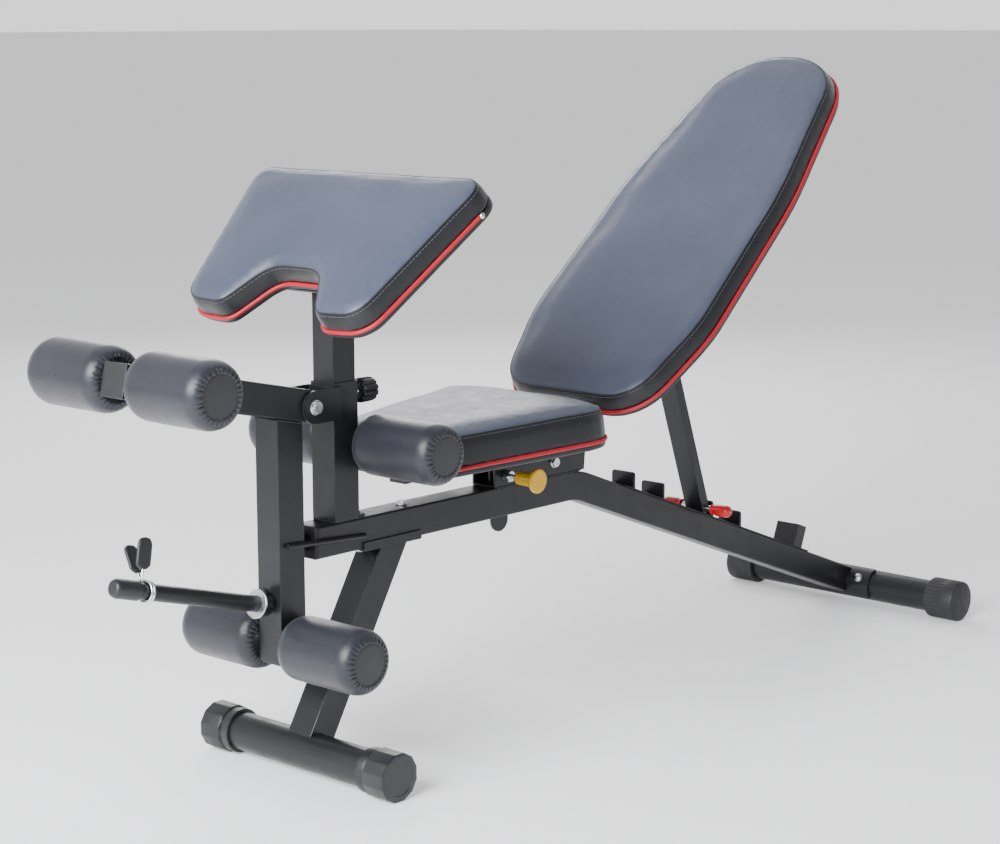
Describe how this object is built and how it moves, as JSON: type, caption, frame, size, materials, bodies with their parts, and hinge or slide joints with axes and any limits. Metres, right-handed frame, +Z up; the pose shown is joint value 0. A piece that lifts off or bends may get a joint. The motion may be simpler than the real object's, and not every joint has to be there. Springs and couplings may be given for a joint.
{
  "type": "adjustable weight bench",
  "caption": "Adjustable weight bench with a reclining back, tilting seat, curl pad on a height-adjusting post, foam rollers and a leg developer arm with a weight peg.",
  "frame": {"origin": "middle of the bounding box, on the floor", "axes": "+X from the leg developer to the rear foot, +Z up, -Y to the sitter's left, where the pull pin is"},
  "size_m": [1.8656, 0.534, 1.0767],
  "materials": {
    "frame_steel": "satin black powder coat",
    "zinc_steel": "bright zinc plate",
    "black_plastic": "fine moulded grain",
    "rubber": "matt ribbed rubber",
    "yellow_plastic": "glossy moulded",
    "red_grip": "satin",
    "roller_cover": "black leatherette, gathered at the ends",
    "pad_cover": "blue-grey leatherette with fine grain",
    "pad_back": "black leatherette wrapped over the board"
  },
  "bodies": {
    "frame": {"main_beam": "frame_steel", "prop_ladder": "frame_steel", "arm_bumper": "rubber", "front_leg": "frame_steel", "frame_bolt_front": "zinc_steel", "frame_bolt_rear": "zinc_steel", "front_foot_tube": "frame_steel", "front_foot_cap_left": "black_plastic", "front_foot_cap_right": "black_plastic", "rear_foot_tube": "frame_steel", "rear_foot_cap_left": "rubber", "rear_foot_cap_right": "rubber", "rear_saddle": "frame_steel", "saddle_bolt_left": "zinc_steel", "saddle_bolt_right": "zinc_steel", "arm_guide": "frame_steel", "upright_sleeve": "frame_steel", "developer_bracket": "frame_steel", "developer_pivot_bolt": "zinc_steel", "lock_knob_nut": "zinc_steel", "seat_roller_bar": "zinc_steel", "seat_bracket": "frame_steel", "seat_pivot_bolt": "zinc_steel", "backrest_pivot_bolt": "zinc_steel", "pull_pin_nut": "zinc_steel"},
    "leg_developer": {"developer_upper_arm": "frame_steel", "developer_arm_plug": "black_plastic", "upper_roller_bar": "zinc_steel", "developer_lower_arm": "frame_steel", "lower_roller_bar": "zinc_steel", "peg_socket": "frame_steel", "peg_flange": "zinc_steel", "weight_peg": "frame_steel", "peg_tip_cap": "black_plastic"},
    "collar": {"collar_coil": "zinc_steel", "collar_grip": "black_plastic"},
    "collar_lever": {"collar_lever_wire": "zinc_steel", "collar_lever_grip": "black_plastic"},
    "upper_roller_left": {"upper_roller_left": "roller_cover"},
    "upper_roller_right": {"upper_roller_right": "roller_cover"},
    "lower_roller_left": {"lower_roller_left": "roller_cover"},
    "lower_roller_right": {"lower_roller_right": "roller_cover"},
    "seat_roller_left": {"seat_roller_left": "roller_cover"},
    "seat_roller_right": {"seat_roller_right": "roller_cover"},
    "seat": {"seat_pad": "pad_cover", "seat_board": "pad_back", "seat_frame": "frame_steel"},
    "pull_pin": {"pull_pin": "yellow_plastic"},
    "backrest": {"backrest_pad": "pad_cover", "backrest_board": "pad_back", "backrest_frame": "frame_steel", "prop_pivot_bolt": "zinc_steel"},
    "prop": {"prop": "frame_steel", "prop_rod": "zinc_steel", "prop_grip_left": "red_grip", "prop_grip_right": "red_grip"},
    "preacher": {"preacher_pad": "pad_cover", "preacher_board": "pad_back", "preacher_post": "frame_steel"},
    "lock_knob": {"lock_knob": "black_plastic"}
  },
  "joints": [
    {"name": "leg_developer_swing", "type": "hinge", "parent": "frame", "child": "leg_developer", "pos_m": [-0.565, 0, 0.5727], "axis": [0, 1, 0], "range_deg": [0, 60]},
    {"name": "collar_slide", "type": "slide", "parent": "leg_developer", "child": "collar", "axis": [-0.9641, 0, 0.2656], "range_m": [-0.185, 0.004]},
    {"name": "collar_squeeze", "type": "hinge", "parent": "collar", "child": "collar_lever", "pos_m": [-0.86503, 0, 0.34067], "axis": [-0.9641, 0, 0.2656], "range_deg": [0, 15], "stiffness_Nm_per_rad": 0.3, "springref_deg": -8.59},
    {"name": "upper_roller_left_spin", "type": "hinge", "parent": "leg_developer", "child": "upper_roller_left", "pos_m": [-0.88439, -0.1095, 0.64468], "axis": [0, 1, 0], "continuous": true},
    {"name": "upper_roller_right_spin", "type": "hinge", "parent": "leg_developer", "child": "upper_roller_right", "pos_m": [-0.88439, 0.1095, 0.64468], "axis": [0, 1, 0], "continuous": true},
    {"name": "lower_roller_left_spin", "type": "hinge", "parent": "leg_developer", "child": "lower_roller_left", "pos_m": [-0.6125, -0.1095, 0.2161], "axis": [0, 1, 0], "continuous": true},
    {"name": "lower_roller_right_spin", "type": "hinge", "parent": "leg_developer", "child": "lower_roller_right", "pos_m": [-0.6125, 0.1095, 0.2161], "axis": [0, 1, 0], "continuous": true},
    {"name": "seat_roller_left_spin", "type": "hinge", "parent": "frame", "child": "seat_roller_left", "pos_m": [-0.4599, -0.1175, 0.505], "axis": [0, 1, 0], "continuous": true},
    {"name": "seat_roller_right_spin", "type": "hinge", "parent": "frame", "child": "seat_roller_right", "pos_m": [-0.4599, 0.1175, 0.505], "axis": [0, 1, 0], "continuous": true},
    {"name": "seat_tilt", "type": "hinge", "parent": "frame", "child": "seat", "pos_m": [-0.0182, 0, 0.411], "axis": [0, 1, 0], "range_deg": [0, 8]},
    {"name": "pull_pin_slide", "type": "slide", "parent": "frame", "child": "pull_pin", "axis": [0, -1, 0], "range_m": [0, 0.012], "stiffness_N_per_m": 600, "springref_m": -0.004},
    {"name": "backrest_recline", "type": "hinge", "parent": "frame", "child": "backrest", "pos_m": [0.063, 0, 0.461], "axis": [0, -1, 0], "range_deg": [0, 36]},
    {"name": "prop_swing", "type": "hinge", "parent": "backrest", "child": "prop", "pos_m": [0.2868, 0, 0.607], "axis": [0, -1, 0], "range_deg": [-41.4, 0]},
    {"name": "preacher_height", "type": "slide", "parent": "frame", "child": "preacher", "axis": [0, 0, 1], "range_m": [0, 0.1]},
    {"name": "lock_knob_turn", "type": "hinge", "parent": "frame", "child": "lock_knob", "pos_m": [-0.434, 0, 0.5815], "axis": [1, 0, 0], "continuous": true}
  ],
  "couplings": [
    {"joint": "prop_swing", "follows": "backrest_recline", "ratio": -1.15}
  ]
}
